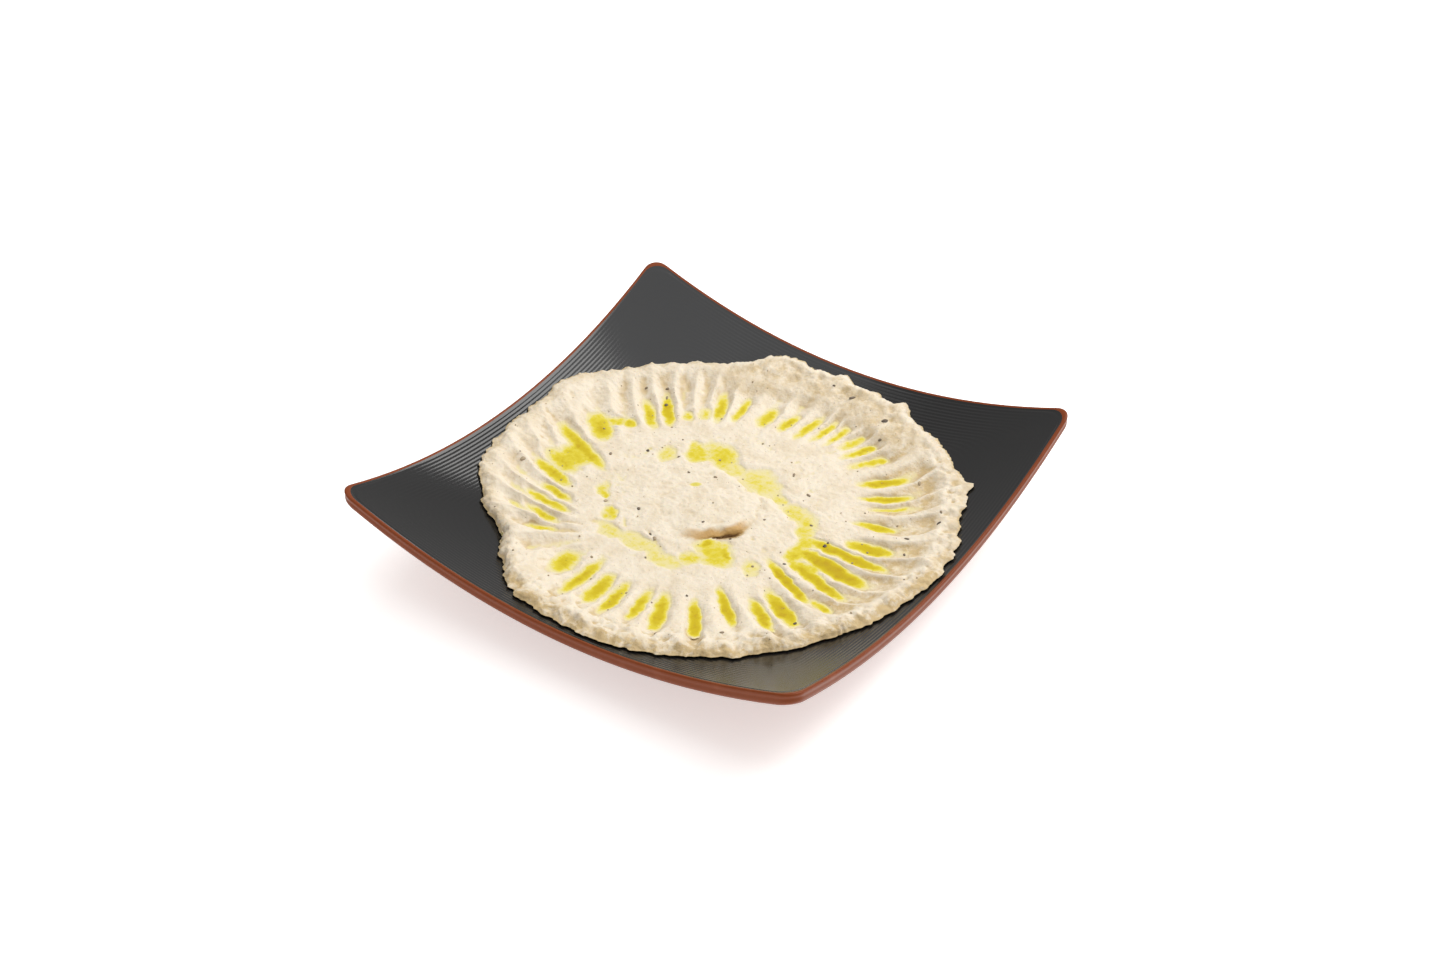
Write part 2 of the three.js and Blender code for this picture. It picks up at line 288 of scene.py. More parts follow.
plate = make_plate()
for name, glaze, worn_glaze, roughness, index in (
    ("black_lacquer", BLACK_LACQUER, BLACK_WORN, BLACK_ROUGHNESS, BLACK_INDEX),
    ("red_brown_lacquer", RED_BROWN_LACQUER, RED_BROWN_WORN, RED_BROWN_ROUGHNESS, RED_BROWN_INDEX),
):
    plate.data.materials.append(lacquer(name, glaze, worn_glaze, roughness, index))
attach(plate, "root")
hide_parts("plate")


# Hummus: one soft, coarse mass of chickpea paste, spread to the dish's walls. The back of a spoon,
# drawn inwards and out again, left a wheel of furrows with rounded ridges between them. A low
# lump with a folded lip stands in the middle, where the spoon was lifted.
LEVEL = 21.3
SPREAD_RADIUS = 102.4
RAGGED = 1.3
MORE_RAGGED = 0.6
REST_GAP = 0.4
LEAN_START = 58
OIL_LEVEL = -0.35
OIL_SLOPE = 0.1
OIL_SLOPE_START = 73
FLOOR_OVER_OIL = 0.3
THINNEST = 0.7
GRID_CELLS = 298
FURROW_HALF = 6.4
RIGHT_HOOK = 4
HOOK_RADII = (76, 98)
STREAK_HOLLOW = 1.7
POOL_HOLLOW = 2.6
STREAK_WOBBLE = 0.6
POOL_WOBBLE = 2.6
HOLLOW_WALL = 2.2
WALL_START = 1.2
HEAD_START = 50
HEAD_RUN = 16
TAIL_START = 82
DEEPEST = 3.4
BEAD_WIDTH = 6.5
BEAD_FOOT = 0.9
LEFT_DROP = 2.2
LEFT_DROP_TURN = 226
LEFT_DROP_WIDTH = 24
MIDDLE_SHARES = (0.44, 0.56)
SHELF_RADII = (78, 86)
SHELF_RISE_RADII = (78, 99)
SHELF_HEIGHTS = (3.2, 6.2)
BORDER_RADII = (84, 96)
RIGHT_BORDER_SHIFTS = (8, 3)

# Sides of the hummus with a look of their own, in degrees from +X. The shelf at the back: where
# it starts, is full, fades and ends. The others: the side's middle, and how far from it the look
# is full and gone.
SHELF_TURNS = (46, 60, 114, 128)
HOOKED_SIDE = (16, 34, 52)
RAGGED_SIDE = (285, 40, 70)
COARSE_SIDE = (320, 70, 110)
# The side where the border's side gets the most painted tan shade.
SHADE_TAN_SIDE = (308, 45, 70)

# Height of the ridges over the level, by share of the way out to the edge.
CREST_STATIONS = (
    (0, 0.75), (0.3, 0.5), (0.42, 0.15), (0.5, 0.25), (0.58, 0.6), (0.7, 1.6), (0.8, 3.0),
    (0.87, 4.4), (0.92, 5.9), (0.96, 6.6), (1.0, 6.6),
)

# Every stroke of the spoon, in order round the plate: its angle from +X at a radius of 71, and how
# many degrees it swirls for each doubling of the radius.
STROKES = [
    (-0.3, -2), (7.3, -1), (19.5, -4), (29.5, -2), (35.4, -2), (44.3, -2), (56.2, -3),
    (63.3, -2.5), (68.7, 0), (75, 2), (80.5, 1.5), (86.4, -1), (94.6, -4), (103.5, -8),
    (114.4, -9), (122.2, -8), (128.5, -8), (135.5, -9), (142.4, -9.5), (149.3, -11), (157.4, -16),
    (168, -22), (181.5, -20), (190, -26), (199.4, -28), (208.8, -30), (216.2, -30), (223.2, -28),
    (230.2, -18), (239, -6), (248, 6), (257.2, 8), (265.2, 7), (272.3, 4), (280.7, 1), (287.4, 4),
    (298.8, 4), (307.9, 6), (317.6, 4), (325, 3), (334.6, 3.5), (341.6, 4), (350.6, -2),
]

# The oil that lies in the furrows. Each streak: the radius and angle where it starts and where it
# stops, its width, and how deep it is.
DRIZZLE = [
    (44, 1, 84, 359.6, 6.4, 1.4), (60.9, 7.5, 81, 7.1, 7.4, 1.2),
    (59.6, 20.4, 78.3, 18.6, 4.6, 0.9), (66, 29.5, 81.7, 30, 2.6, 0.5),
    (61.2, 35.8, 83.2, 34.8, 5, 1.0), (61.6, 44.7, 84.3, 43.8, 6, 1.1),
    (62.6, 56.9, 85, 55.4, 5, 0.6), (63.2, 63.8, 85.4, 62.7, 4.8, 0.8),
    (66.5, 68.8, 82.3, 68.6, 4.8, 0.5), (63.6, 74.4, 81.3, 75.8, 4, 0.6),
    (60.9, 80.2, 78.5, 80.8, 3.8, 0.6), (57.1, 86.6, 76.2, 86.2, 4.6, 0.7),
    (58.2, 95.3, 71.9, 94, 6, 0.8), (57.8, 105, 72.4, 102, 6.4, 0.7),
    (58.5, 116.2, 75.8, 112.6, 4.2, 0.7), (57.1, 123.7, 78.1, 120.8, 5.4, 0.8),
    (60, 129, 68, 127.5, 5, 0.4), (59.5, 136, 66, 134.5, 4.4, 0.5),
    (57.3, 144.5, 79.3, 140.1, 5.4, 1.1), (58.9, 151.3, 78.4, 147.2, 5.4, 0.8),
    (64.6, 158.5, 71.4, 157, 5.4, 0.8), (64, 172, 82, 164.6, 10.5, 0.9),
    (52.3, 189.2, 85.5, 176, 7.2, 1.0), (63, 195.5, 79, 187.5, 9, 0.7),
    (62.3, 204.5, 80.5, 194.3, 6, 0.9), (60.6, 214.4, 73.5, 205.1, 4.6, 0.8),
    (61.5, 221.4, 78.5, 209.8, 4.6, 0.8), (66.7, 227.6, 77.4, 217.6, 4.4, 0.7),
    (69, 230.6, 79, 227.4, 3.4, 0.5), (66, 245, 80, 250.6, 10, 0.8),
    (60, 255.1, 85, 259.4, 6.4, 0.9), (63, 263.8, 84, 267, 7.4, 1.0),
    (64, 271.5, 86.5, 272.8, 5.6, 0.9), (64, 280.9, 85.5, 280.8, 5, 0.9),
    (63.4, 286.6, 88.5, 288.6, 7, 1.1), (64, 297.4, 93, 299.5, 5.4, 1.3),
    (56.6, 306, 82, 309.4, 4.8, 1.2), (65.2, 317.3, 88.3, 319, 5.8, 1.1),
    (62.7, 324.2, 88, 325.4, 7.2, 1.3), (44, 332.9, 76, 333.2, 5, 1.4),
    (76, 334.8, 88, 335.8, 4, 0.7), (48, 341.6, 83.5, 342.4, 6, 1.3),
    (45, 351.6, 83.5, 350.6, 8.8, 1.7),
]

# How the furrows end towards the border, by angle: the radius where a furrow has become as
# shallow as it gets, and how deep it still is there.
FURROW_TAILS = [
    (-30, 94, 0.1), (-10, 97, 0.5), (45, 97, 0.6), (58, 90, 0.1), (112, 86, 0.1), (122, 94, 0.5),
    (165, 99, 0.9), (205, 99, 0.8), (225, 92, 0.3), (250, 88, 0.05), (300, 93, 0.05),
]

# Swellings, dents and torn tips of the hummus's edge: angle and half-width in degrees, height.
EDGE_SWELLS = [
    (4, 13, 3.6), (15, 2.5, 2.4), (33, 9, 2.2), (36, 2.5, 3.4), (48, 10, 1.6), (71, 2.2, 3.2),
    (90, 2, 2.6), (106, 6, 4.6), (118, 5, -2.4), (128, 12, -3), (163, 7, 4.4), (212, 9, -2.6),
    (229, 12, -10), (227, 5, -2), (242, 6, -3.4), (285, 30, 3.4), (316, 8, 1), (342, 9, 1.4),
]

# Pools of oil round the middle, and the places where the oil of neighbouring furrows runs
# together: place, half-widths and turn in the plan, and depth.
POOLS = [
    (-15.8, 28.2, 9.4, 7, -42, 0.5), (-25.4, 24, 6.4, 3.8, -58, 0.45),
    (-36.3, 16.4, 5.2, 3.8, -50, 0.26), (8.6, 22.6, 9.6, 5.4, -24, 0.28),
    (34.5, 11.8, 10, 4.6, -14, 0.34), (18.6, -28.6, 9.4, 6.6, -28, 0.5),
    (12.4, -24, 3, 3.6, -30, 1.0), (24, -27, 3, 2.2, -30, 0.8), (12.4, -37.8, 4.2, 3.6, 0, 0.38),
    (4.2, -44.4, 6.8, 3.6, 0, 0.2), (-25.4, -41, 5.4, 3.2, -14, 0.25),
    (-31.8, -31.8, 4.2, 3, -40, 0.5), (-43.6, -20, 4, 3, -50, 0.4),
    (21, 17.2, 3.6, 2.2, -30, 0.3), (37.5, -28.5, 4.6, 3, -40, 0.2),
    (-10, -41.8, 12, 2.8, -6, 0.16), (42, 5, 4, 5.4, 30, 0.34), (47, -3, 4, 5.6, 0, 0.5),
    (47.5, -10.5, 5, 5, -10, 0.6), (56, -16.4, 9, 3.4, -16, 0.5), (-70, -6, 9, 7, -50, 0.55),
    (-6, 23.5, 5.4, 3, -15, 0.2), (-29.5, 27.5, 2.4, 3, 0, 0.4), (-69.4, 23.2, 4.8, 2.8, 34, 0.5),
]

# Short scrapes in the smooth middle, where the disc's edge lies: both ends, width and depth.
SCRAPES = [
    (-14, 15, -7, 12, 0.6, 0.4), (-2, 18.6, 10, 13.6, 0.5, 0.3), (14.6, 12, 18, 9.4, 0.6, 0.4),
    (19, 8.4, 22, 5.4, 0.5, 0.35), (23.4, 3.4, 25.2, -0.6, 0.7, 0.45),
    (16, 26, 24, 22.5, 0.5, 0.25), (-24, 9.5, -18, 11, 0.7, 0.35),
    (-44.5, 17, -43.8, 10, 0.8, 0.4), (-26, -30, -20.5, -35.5, 0.7, 0.45),
    (-12, -32.6, -4, -36, 0.9, 0.45), (8, 7, 10.5, 4.4, 0.5, 0.25), (33, 27.5, 27, 30, 0.6, 0.25),
    (25.4, -9.5, 28.5, -14, 0.9, 0.4), (-30, 21.5, -31, 16, 0.6, 0.35),
    (-40, -22, -37, -27, 0.9, 0.45),
]

# Thin smears of oil that lie on the paste with no depth: place, half-widths, turn and strength.
SMEARS = [(-12.2, 3.6, 2.8, 1.6, 34, 0.3)]

# The disc of paste in the middle, and the lip that the spoon left on its front: places in the
# plan, and directions in degrees.
LUMP_X = 0.5
LUMP_Y = -4
LIP_RADIUS = 21
LUMP_HEIGHT = 1.2
LUMP_SPREAD = 19
LIP_MIDDLE = -52
LIP_HALF_WIDTH = 56
LIP_RISE = 1.3
LIP_FACE_WIDTH = 2.2
SOFT_FACE_WIDTH = 6
CREASE_MIDDLE = -37
CREASE_HALF_WIDTH = 25


def ease(low, high, value):
    share = np.clip((value - low) / (high - low), 0, 1)
    return share * share * (3 - 2 * share)


def mix(low, high, share):
    return low + (high - low) * share


def hill(distance):
    return np.exp(-distance * distance)


def around(angle, centre):
    """The signed gap between angles in degrees, at most half a turn."""
    return (angle - centre + 180) % 360 - 180


def on_side(angle, middle, full, gone):
    """1 within some degrees of a side's middle, falling to 0 further off."""
    return 1 - ease(full, gone, np.abs(around(angle, middle)))


def is_shelf(angle):
    start, full, fading, end = SHELF_TURNS
    return ease(start, full, angle) * (1 - ease(fading, end, angle))


def is_right(angle):
    return on_side(angle, *HOOKED_SIDE)


def lumps(x, y, size, seed, octaves=3):
    """Noise from -1 to 1 over places in the plan, with lumps of a size in millimetres."""
    flat = np.column_stack([np.ravel(x) / size, np.ravel(y) / size])
    values = [noise.fractal((u, v, seed), 1.0, 2.0, octaves) for u, v in flat]
    return np.array(values).reshape(np.shape(x))


def edge_radius(angle):
    """How far out the hummus reaches at an angle in degrees, torn and scalloped."""
    radius = np.full(np.shape(angle), float(SPREAD_RADIUS))
    for centre, half_width, height in EDGE_SWELLS:
        radius = radius + height * hill(around(angle, centre) / half_width)
    turn = np.radians(angle)
    x = np.cos(turn) * SPREAD_RADIUS
    y = np.sin(turn) * SPREAD_RADIUS
    ragged = RAGGED + MORE_RAGGED * on_side(angle, *RAGGED_SIDE)
    return radius + ragged * lumps(x, y, 7, 3.1) + 0.9 * lumps(x, y, 2.8, 7.7)


def crest_at(share):
    """Height of the ridges over the level at a share of the way out, straight between stations."""
    places, heights = np.array(CREST_STATIONS).T
    number = np.clip(np.searchsorted(places, share) - 1, 0, len(places) - 2)
    local = (share - places[number]) / (places[number + 1] - places[number])
    return mix(heights[number], heights[number + 1], np.clip(local, 0, 1))


def oil_height(radius):
    return OIL_LEVEL + OIL_SLOPE * np.maximum(0, radius - OIL_SLOPE_START)


def oval_place(x, y, centre_x, centre_y, wide, deep, turn):
    """Where places are in a turned oval, as shares of its half-widths along and across it."""
    cos, sin = math.cos(math.radians(turn)), math.sin(math.radians(turn))
    across = ((x - centre_x) * cos + (y - centre_y) * sin) / wide
    along = ((y - centre_y) * cos - (x - centre_x) * sin) / deep
    return across, along


def ridge_shape(aside, sharp):
    """A furrow's cross-section: 0 along its middle, 1 on the rounded or sharp ridge beside it."""
    rounded = mix(aside ** 2.2, np.sin(aside * math.pi / 2) ** 2, 0.45)
    return mix(rounded, aside ** 3.4, sharp)


def furrow_height(radius, angle, crest):
    """Height of the ridges and furrows, over the level, and how far each place is up its ridge."""
    table = np.array(STROKES)
    hook = RIGHT_HOOK * is_right(angle) * ease(*HOOK_RADII, radius)
    swirl = np.log2(np.maximum(radius, LEAN_START) / 71)[:, None]
    gaps = around((angle - hook)[:, None], table[:, 0] + table[:, 1] * swirl)
    behind = np.where(gaps >= 0, gaps, 999)
    ahead = np.where(gaps < 0, -gaps, 999)
    before, after = behind.min(1), ahead.min(1)
    nearest = np.where(before < after, behind.argmin(1), ahead.argmin(1))
    lean = np.arctan(table[nearest, 1] * math.pi / 180 / math.log(2))
    reach = np.radians(1) * radius * np.cos(lean)
    half_gap = np.minimum((before + after) / 2 * reach, FURROW_HALF)
    aside = np.clip(np.minimum(before, after) * reach / half_gap, 0, 1)
    tails = np.array(FURROW_TAILS)
    tail = np.interp(angle, tails[:, 0], tails[:, 1], period=360)
    shallow = np.interp(angle, tails[:, 0], tails[:, 2], period=360)
    wet = oil_height(radius) + FLOOR_OVER_OIL
    depth = np.maximum(crest - wet, 0) * ease(HEAD_START, HEAD_START + HEAD_RUN, radius)
    run = np.clip((radius - TAIL_START) / np.maximum(tail - TAIL_START, 5), 0, 1)
    run = ease(0, 1, run ** (1 + is_right(angle)))
    floor = crest - mix(np.minimum(depth, DEEPEST), shallow, run)
    ridge = ridge_shape(aside, is_right(angle) * ease(70, 86, radius))
    return mix(floor, crest, ridge), ridge


def polar(reach, turn):
    """A place in the plan from its distance out and its angle in degrees."""
    return reach * Vector((math.cos(math.radians(turn)), math.sin(math.radians(turn))))


def pool_floors(x, y, height):
    """The height with every streak and pool of oil hollowed out of it."""
    level = oil_height(np.hypot(x, y))
    streak_x = x + STREAK_WOBBLE * lumps(x, y, 4.5, 61.1, 3)
    streak_y = y + STREAK_WOBBLE * lumps(x, y, 4.5, 67.7, 3)
    pool_x = x + POOL_WOBBLE * lumps(x, y, 9, 91.7, 3)
    pool_y = y + POOL_WOBBLE * lumps(x, y, 9, 97.3, 3)
    hollows = [(pool_x, pool_y) + pool + (POOL_HOLLOW,) for pool in POOLS]
    for inner, inner_turn, outer, outer_turn, width, depth in DRIZZLE:
        start, stop = polar(inner, inner_turn), polar(outer, outer_turn)
        middle, along = (start + stop) / 2, stop - start
        turn = math.degrees(math.atan2(along.y, along.x))
        streak = (middle.x, middle.y, along.length / 2, width / 2, turn, depth)
        hollows.append((streak_x, streak_y) + streak + (STREAK_HOLLOW,))
    for wet_x, wet_y, place_x, place_y, wide, deep, turn, depth, form in hollows:
        across, along = oval_place(wet_x, wet_y, place_x, place_y, wide, deep, turn)
        away = (np.abs(across) ** 2.6 + np.abs(along) ** 2) ** 0.5
        hollow = level - depth * (1 + 0.15 * np.clip(across, -1, 1)) + depth * away ** form
        hollow = hollow + HOLLOW_WALL * np.maximum(0, away - WALL_START) ** 2
        height = smaller(height, hollow, 0.3)
    return height


def scrape_depth(x, y):
    """The scrapes in the middle, as depths in millimetres."""
    depths = 0
    for start_x, start_y, stop_x, stop_y, width, depth in SCRAPES:
        wide = math.hypot(stop_x - start_x, stop_y - start_y) / 2
        turn = math.degrees(math.atan2(stop_y - start_y, stop_x - start_x))
        middle = ((start_x + stop_x) / 2, (start_y + stop_y) / 2)
        across, along = oval_place(x, y, *middle, wide, width, turn)
        depths = depths + depth * np.exp(-across ** 4 - along ** 2)
    return depths


def lip_place(x, y):
    """How far a place is outside the lip's foot, and how strong the lip and crease are there."""
    dx, dy = x - LUMP_X, y - LUMP_Y
    turn = np.degrees(np.arctan2(dy, dx))
    outside = np.hypot(dx, dy) - LIP_RADIUS
    outside = outside - 1.6 * lumps(x, y, 8, 71.3, 2) - 1.6 * hill((x - 4) / 8)
    lip = 1 - ease(0.5, 1, np.abs(around(turn, LIP_MIDDLE)) / LIP_HALF_WIDTH)
    crease = 1 - ease(0.4, 1, np.abs(around(turn, CREASE_MIDDLE)) / CREASE_HALF_WIDTH)
    return outside, lip, crease


def lump_height(x, y):
    """Height of the low lump in the middle, with the lip on its front and the gap under it."""
    outside, lip, crease = lip_place(x, y)
    rim = 0.25 * hill(outside / 1.3)
    dome = LUMP_HEIGHT * hill((outside + LIP_RADIUS) / LUMP_SPREAD) - rim
    steep = ease(-2, 12, x)
    brow = LIP_RISE * mix(0.2, 1, steep) * ease(-11, -2.8, outside)
    face = 1 - ease(mix(-SOFT_FACE_WIDTH, -LIP_FACE_WIDTH, steep), 0.1, outside) ** 1.3
    gap = (0.35 * steep + 1.1 * crease) * hill((outside - 0.2) / (1 + 1.2 * (outside > 0.2)))
    return mix(dome, (dome + rim + brow) * face - gap, lip * mix(0.3, 1, steep))


def with_bead(height, radius, edge, x, y):
    """Rounds the border off, from the height that it has down to a little above the dish."""
    across = np.clip((radius - edge + BEAD_WIDTH) / BEAD_WIDTH, 0, 1)
    foot = dish_top(x, y) - LEVEL + BEAD_FOOT
    return foot + np.maximum(height - foot, BEAD_FOOT) * np.sqrt(1 - across ** 2.2)


def smaller(first, second, blend):
    """The lower of two heights, with a rounded change from one to the other."""
    share = np.clip(0.5 + 0.5 * (second - first) / blend, 0, 1)
    return mix(second, first, share) - blend * share * (1 - share)


def hummus_surface(x, y, edge):
    """Height of the paste over the level, and how far up a ridge it is, by place in the plan."""
    radius = np.hypot(x, y)
    share = radius / edge
    drawn_x = x + 0.8 * lumps(x, y, 6, 41.5, 2)
    drawn_y = y + 0.8 * lumps(x, y, 6, 47.1, 2)
    drawn_radius = np.hypot(drawn_x, drawn_y)
    drawn_angle = np.degrees(np.arctan2(drawn_y, drawn_x)) % 360
    crest = crest_at(share)
    height, ridge = furrow_height(drawn_radius, drawn_angle, crest)
    middle = 1 - ease(*MIDDLE_SHARES, share)
    height = height + middle * lump_height(x, y)
    height = height + middle * (0.25 * lumps(x, y, 4.5, 53.3, 4) + 0.2 * lumps(x, y, 1.8, 59.9, 3))
    height = pool_floors(drawn_x, drawn_y, height) - scrape_depth(x, y)
    shelf = is_shelf(drawn_angle) * ease(*SHELF_RADII, radius)
    height = mix(height, mix(*SHELF_HEIGHTS, ease(*SHELF_RISE_RADII, radius)), shelf)
    shift, end_shift = (most * is_right(drawn_angle) for most in RIGHT_BORDER_SHIFTS)
    border = ease(BORDER_RADII[0] + shift, BORDER_RADII[1] + end_shift, radius)
    height = height + shelf * hill((radius - edge + 4) / 3)
    rough = 0.35 * shelf + mix(0.7, 1.6, on_side(drawn_angle, *COARSE_SIDE)) * border
    height = height + rough * lumps(x, y, 7.5, 11.3, 3) + 0.6 * rough * lumps(x, y, 3.6, 17.9)
    dry_and_shade = 1 - ease(-0.6, 0.1, oil_height(radius) - height)
    height = height + dry_and_shade * (0.25 * lumps(x, y, 9, 23.5) + 0.2 * lumps(x, y, 1.9, 29.1))
    sag = hill(around(drawn_angle, LEFT_DROP_TURN) / LEFT_DROP_WIDTH)
    height = height - LEFT_DROP * sag * ease(78, 94, radius)
    height = with_bead(height, radius, edge, x, y)
    return np.maximum(height, dish_top(x, y) - LEVEL + THINNEST), ridge


def disc_places(square_x, square_y):
    """Carries places in a square from -1 to 1 to a disc, without changing their share of area."""
    wide = np.abs(square_x) > np.abs(square_y)
    radius = np.where(wide, square_x, square_y)
    other = np.where(wide, square_y, square_x)
    ratio = np.divide(other, radius, out=np.zeros_like(radius), where=radius != 0)
    turn = np.where(wide, ratio * math.pi / 4, math.pi / 2 - ratio * math.pi / 4)
    return radius * np.cos(turn), radius * np.sin(turn)


def bulged(x, y, height, radius, edge):
    """Moves places on the border's side in and out, in lumps."""
    bulge = 1.1 * lumps(x + height, y - height, 4.6, 83.9) * ease(-7, -3, radius - edge)
    bulge = bulge * (1 - ease(-1.2, 0, radius - edge))
    stretch = 1 + bulge / np.maximum(radius, 1)
    return x * stretch, y * stretch


def overhung(x, y, outside, lip, crease):
    """Moves places on the lip's face out over its crease."""
    push = (0.4 + 0.9 * crease) * lip * ease(-4.5, -2, outside) * (1 - ease(-1.2, 0, outside))
    away = np.maximum(np.hypot(x - LUMP_X, y - LUMP_Y), 0.01)
    return x + push * (x - LUMP_X) / away, y + push * (y - LUMP_Y) / away


def painted_tan_shade(x, y, radius, edge, ridge):
    """Where the paste gets painted tan shade: floors on the right, the shelf and the border's side.
    """
    angle = np.degrees(np.arctan2(y, x)) % 360
    inside = radius - edge
    floors = 1.3 * is_right(angle) * ease(0.9, 0.3, ridge)
    floors = floors * ease(58, 76, radius) * (1 - ease(91, 97, radius))
    shelf = 0.8 * is_shelf(angle) * ease(76, 84, radius) * (1 - ease(-7, -3, inside))
    border = (0.6 + 1.2 * on_side(angle, *SHADE_TAN_SIDE)) * ease(-8, -2, inside)
    return np.maximum(np.maximum(floors, shelf), border * (1 - is_shelf(angle)))


def smear_depth(x, y):
    """Depth of oil that the smears seem to have, and -1 away from them."""
    depths = np.full(len(x), -1.0)
    for place_x, place_y, wide, deep, turn, strength in SMEARS:
        across, along = oval_place(x, y, place_x, place_y, wide, deep, turn)
        fade = ease(0.6, 1.5, np.hypot(across, along))
        depths = np.maximum(depths, mix(strength, -1, fade))
    return depths


# The underside, from the edge inwards: share of the way out, and height over the dish.
UNDERSIDE = (
    (1.004, 0.9), (1.0, 0.5), (0.99, 0.2), (0.975, 0.1), (0.9, 0.1), (0.7, 0.1), (0.4, 0.1),
)


def underside_place(share, rise):
    """How extrude_rim sets the corners of one ring of the underside."""
    rest = REST_GAP if share < 0.98 else 0

    def place(number, co):
        reach = co.xy / MM
        reach = reach * share / max(reach.length / edge_by_turn(reach), 0.001)
        return Vector((reach.x, reach.y, dish_top(reach.x, reach.y) + rise + rest)) * MM

    return place


def make_hummus():
    hummus = add_piece(
        "hummus_paste", bpy.ops.mesh.primitive_grid_add,
        x_subdivisions=GRID_CELLS, y_subdivisions=GRID_CELLS, size=2,
    )
    mesh = hummus.data
    places = np.zeros(len(mesh.vertices) * 3)
    mesh.vertices.foreach_get("co", places)
    places = places.reshape(-1, 3)
    disc_x, disc_y = disc_places(places[:, 0], places[:, 1])
    edge = edge_radius(np.degrees(np.arctan2(disc_y, disc_x)) % 360)
    x, y = disc_x * edge, disc_y * edge
    height, ridge = hummus_surface(x, y, edge)
    radius = np.hypot(x, y)
    outside, lip, crease = lip_place(x, y)
    depth = oil_height(radius) - height
    depth = depth - 3 * ease(88, 94, radius) - 2 * crease * hill(outside / 1.4)
    x, y = bulged(x, y, height, radius, edge)
    x, y = overhung(x, y, outside, lip, crease)
    moved = np.column_stack([x, y, height + LEVEL]) * MM
    mesh.vertices.foreach_set("co", moved.ravel())
    grid = height.reshape(GRID_CELLS + 1, GRID_CELLS + 1)
    # Painted shade: a tan tint on the lip's steep front face.
    face = ease(-4.6, -2.8, outside) * (1 - ease(-0.1, 1.4, outside))
    mark_points(hummus, "oil_depth", depth)
    # Painted shade and light: how far each point lies below the blurred surface round it, which
    # tints hollows darker tan and crests paler.
    mark_points(hummus, "hollow", (blurred(grid, 14) - grid).ravel())
    # Painted shade: a tan tint on the furrow floors on the right, the back shelf and the border's
    # side.
    mark_points(hummus, "dry_and_shade", painted_tan_shade(x, y, radius, edge, ridge))
    mark_points(hummus, "lip_face_shade", lip * face * mix(0.15, 1, ease(-1, 11, x)))
    # Painted shadow: a dark line along the foot of the lip, in the crease under its overhang.
    mark_points(hummus, "crease", crease * hill((outside + 0.1) / 0.7))
    mark_points(hummus, "smear", smear_depth(x, y))
    bpy.ops.object.mode_set(mode="EDIT")
    bpy.ops.mesh.select_all(action="DESELECT")
    bpy.ops.mesh.select_non_manifold()
    for share, rise in UNDERSIDE:
        extrude_rim(hummus, underside_place(share, rise))
    bpy.ops.mesh.extrude_region_move()
    bpy.ops.mesh.merge(type="CENTER")
    bpy.ops.mesh.select_all(action="SELECT")
    bpy.ops.mesh.normals_make_consistent(inside=False)
    bpy.ops.object.mode_set(mode="OBJECT")
    bpy.ops.object.shade_smooth()
    return hummus


def blurred(grid, rounds):
    """A grid of values, averaged with their neighbours a number of times."""
    for _ in range(rounds):
        padded = np.pad(grid, 1, mode="edge")
        beside = padded[:-2, 1:-1] + padded[2:, 1:-1] + padded[1:-1, :-2] + padded[1:-1, 2:]
        grid = (beside + grid) / 5
    return grid


def mark_points(piece, name, values):
    """Keeps a number for each point of a mesh."""
    marks = np.array(values, np.float32)
    piece.data.attributes.new(name, "FLOAT", "POINT").data.foreach_set("value", marks)


def edge_by_turn(place):
    """How far out the hummus reaches in the direction of one place."""
    angle = math.degrees(math.atan2(place.y, place.x)) % 360
    return float(edge_radius(np.array([angle]))[0])


CREAM = (0.68, 0.585, 0.44, 1)
PALE_CREAM = (0.75, 0.67, 0.54, 1)
SHADE_TAN = (0.54, 0.405, 0.21, 1)
LIP_SHADE_TAN = (0.48, 0.275, 0.07, 1)
CREASE_SHADOW = (0.13, 0.06, 0.015, 1)
SEED_BROWN = (0.45, 0.34, 0.22, 1)
OIL_HALO = (0.70, 0.62, 0.29, 1)
OIL_THIN = (0.64, 0.54, 0.035, 1)
OIL_DEEP = (0.52, 0.40, 0.001, 1)
OIL_DEEPEST = (0.46, 0.33, 0.001, 1)
OIL_AMBER = (0.42, 0.26, 0.001, 1)


def attribute(place, name):
    return place.node("ShaderNodeAttribute", {"attribute_name": name}, output=2)


def oiled(dry_colour, depth):
    """The paste's colour under a depth of oil in millimetres, which seeps past its edge."""
    seeped = depth.between(-0.5, 0.12).blend(dry_colour, OIL_HALO)
    thin = depth.between(-0.02, 0.47).blend(seeped, OIL_THIN)
    deep = depth.between(0.28, 0.95).blend(thin, OIL_DEEP)
    return depth.between(0.95, 1.6).blend(deep, OIL_DEEPEST)


